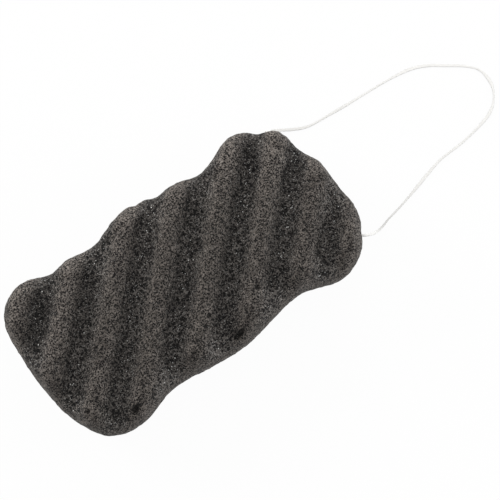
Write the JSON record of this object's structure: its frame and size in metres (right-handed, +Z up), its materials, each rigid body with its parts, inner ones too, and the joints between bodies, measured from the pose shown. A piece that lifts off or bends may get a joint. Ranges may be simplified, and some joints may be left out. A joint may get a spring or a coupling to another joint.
{
  "type": "konjac sponge",
  "caption": "Wave-topped konjac bath sponge, porous and charcoal grey, with a thin white string loop through its end for carrying and hanging up to dry",
  "frame": {"origin": "middle of the flat foot: the centre of the sponge's own box in plan, at the surface that it lies on, without the free string loop", "axes": "+X along the sponge towards the end with the string, +Y across it to the left, +Z up through the wavy top"},
  "size_m": [0.2344, 0.079, 0.0318],
  "materials": {
    "konjac": "matte",
    "string": "matte"
  },
  "bodies": {
    "root": {"sponge_body": "konjac", "string_run_left": "string", "string_knot": "string", "string_run_right": "string", "hang_loop": "string"}
  },
  "joints": []
}
